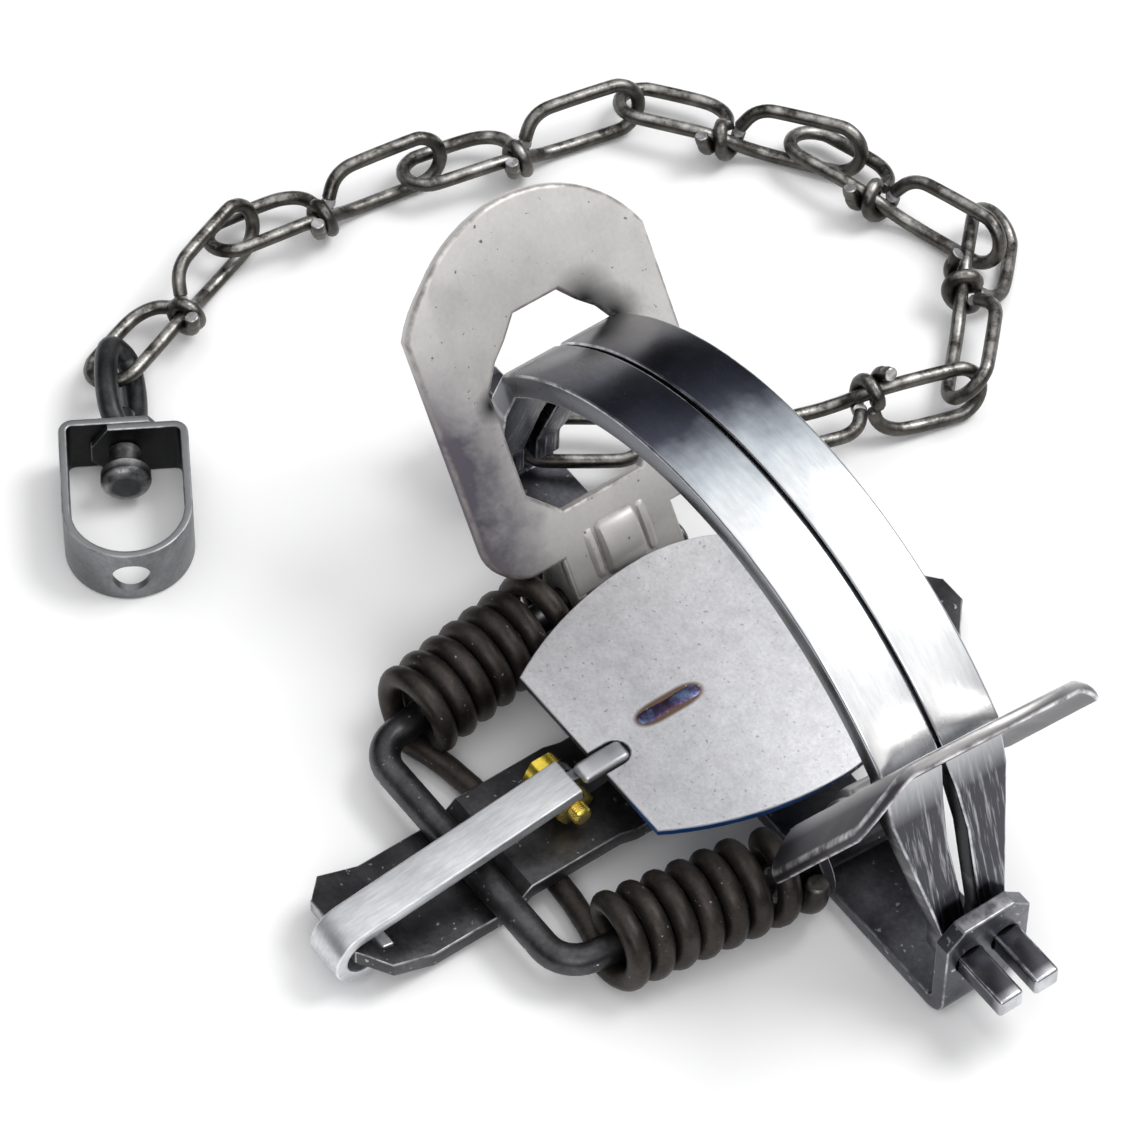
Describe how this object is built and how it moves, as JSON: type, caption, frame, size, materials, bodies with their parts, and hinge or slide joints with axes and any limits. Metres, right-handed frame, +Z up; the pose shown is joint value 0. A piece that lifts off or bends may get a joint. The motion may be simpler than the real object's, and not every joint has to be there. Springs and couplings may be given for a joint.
{
  "type": "leghold_trap",
  "caption": "Sprung steel leghold trap with closed jaws, raised ring levers on a coil spring, round pan, dog and a chain of knotted wire links with a swivel",
  "frame": {"origin": "middle of the base strip, on the ground", "axes": "X along the base and the jaw pivots, away from the chain; Y away from the dog; Z up"},
  "size_m": [0.2455, 0.2154, 0.0817],
  "materials": {
    "frame_steel": "dark hot-rolled steel with a dull sheen",
    "pan_steel": "light grey matte steel with a heat tint at the weld",
    "brass": "yellow plated",
    "dog_steel": "bright flat strip",
    "jaw_steel": "smooth bright cast steel",
    "lever_steel": "satin steel with brown mottling",
    "spring_steel": "brown-black oiled spring wire",
    "chain_steel": "dark steel wire with worn bright edges",
    "swivel_steel": "dark grey steel strip"
  },
  "bodies": {
    "frame": {"base_frame": "frame_steel", "cross_arm": "frame_steel", "pan_post": "frame_steel", "pan_bolt": "brass", "pan_nut": "brass", "spring_rod": "frame_steel", "coil_spring": "spring_steel"},
    "pan": {"pan_plate": "pan_steel", "pan_shank": "pan_steel"},
    "dog": {"dog": "dog_steel"},
    "jaw_dog": {"jaw_dog_side": "jaw_steel"},
    "jaw_far": {"jaw_far_side": "jaw_steel"},
    "lever_front": {"lever_front": "lever_steel"},
    "lever_back": {"lever_back": "lever_steel"},
    "link_8": {"chain_link_8": "chain_steel"},
    "link_7": {"chain_link_7": "chain_steel"},
    "link_6": {"chain_link_6": "chain_steel"},
    "link_5": {"chain_link_5": "chain_steel"},
    "link_4": {"chain_link_4": "chain_steel"},
    "link_3": {"chain_link_3": "chain_steel"},
    "link_2": {"chain_link_2": "chain_steel"},
    "link_1": {"chain_link_1": "chain_steel"},
    "eye": {"swivel_eye": "swivel_steel"},
    "stirrup": {"swivel_stirrup": "swivel_steel"}
  },
  "joints": [
    {"name": "lever_front_hinge", "type": "hinge", "parent": "frame", "child": "lever_front", "pos_m": [0.038, 0, 0.008], "axis": [0.0698, 0.9976, 0], "range_deg": [0, 51], "stiffness_Nm_per_rad": 1.2, "springref_deg": -40.11, "deforming": ["coil_spring"]},
    {"name": "lever_back_hinge", "type": "hinge", "parent": "frame", "child": "lever_back", "pos_m": [-0.038, 0, 0.008], "axis": [0, -1, 0], "range_deg": [0, 51]},
    {"name": "jaw_dog_hinge", "type": "hinge", "parent": "frame", "child": "jaw_dog", "pos_m": [0, -0.0041, 0.015], "axis": [1, 0, 0], "range_deg": [0, 18.5]},
    {"name": "jaw_far_hinge", "type": "hinge", "parent": "frame", "child": "jaw_far", "pos_m": [0, 0.0041, 0.015], "axis": [-1, 0, 0], "range_deg": [0, 18.5]},
    {"name": "pan_hinge", "type": "hinge", "parent": "frame", "child": "pan", "pos_m": [0, -0.0415, 0.0135], "axis": [1, 0, 0], "range_deg": [-8, 20]},
    {"name": "dog_hinge", "type": "hinge", "parent": "frame", "child": "dog", "pos_m": [0, -0.0897, 0.00871], "axis": [1, 0, 0], "range_deg": [0, 120]},
    {"name": "link_8_hinge", "type": "hinge", "parent": "frame", "child": "link_8", "pos_m": [-0.073, 0.0082, 0.0065], "axis": [0, 0, 1], "range_deg": [-12, 12]},
    {"name": "link_7_hinge", "type": "hinge", "parent": "link_8", "child": "link_7", "pos_m": [-0.0465, 0.0413, 0.0086], "axis": [0, 0, -1], "range_deg": [-10, 8]},
    {"name": "link_6_hinge", "type": "hinge", "parent": "link_7", "child": "link_6", "pos_m": [-0.0337, 0.0831, 0.0075], "axis": [0, 0, 1], "range_deg": [-12, 12]},
    {"name": "link_5_hinge", "type": "hinge", "parent": "link_6", "child": "link_5", "pos_m": [-0.0639, 0.1134, 0.0061], "axis": [0, 0, -1], "range_deg": [-6, 12]},
    {"name": "link_4_hinge", "type": "hinge", "parent": "link_5", "child": "link_4", "pos_m": [-0.1018, 0.1002, 0.0062], "axis": [0, 0, 1], "range_deg": [-10, 3]},
    {"name": "link_3_hinge", "type": "hinge", "parent": "link_4", "child": "link_3", "pos_m": [-0.1348, 0.0748, 0.0064], "axis": [0, 0, -1], "range_deg": [-12, 12]},
    {"name": "link_2_hinge", "type": "hinge", "parent": "link_3", "child": "link_2", "pos_m": [-0.1446, 0.0303, 0.0066], "axis": [0, 0, 1], "range_deg": [-8, 10]},
    {"name": "link_1_hinge", "type": "hinge", "parent": "link_2", "child": "link_1", "pos_m": [-0.1531, -0.0104, 0.0063], "axis": [0, 0, -1], "range_deg": [-6, 12]},
    {"name": "eye_hinge", "type": "hinge", "parent": "link_1", "child": "eye", "pos_m": [-0.1374, -0.0494, 0.0061], "axis": [0, 0, 1], "range_deg": [-10, 3]},
    {"name": "swivel_turn", "type": "hinge", "parent": "eye", "child": "stirrup", "pos_m": [-0.11937, -0.05816, 0.00635], "axis": [0.8563, -0.5165, 0], "continuous": true}
  ],
  "couplings": [
    {"joint": "lever_back_hinge", "follows": "lever_front_hinge", "ratio": 1},
    {"joint": "jaw_dog_hinge", "follows": "lever_front_hinge", "ratio": 0.36},
    {"joint": "jaw_far_hinge", "follows": "lever_front_hinge", "ratio": 0.36}
  ]
}
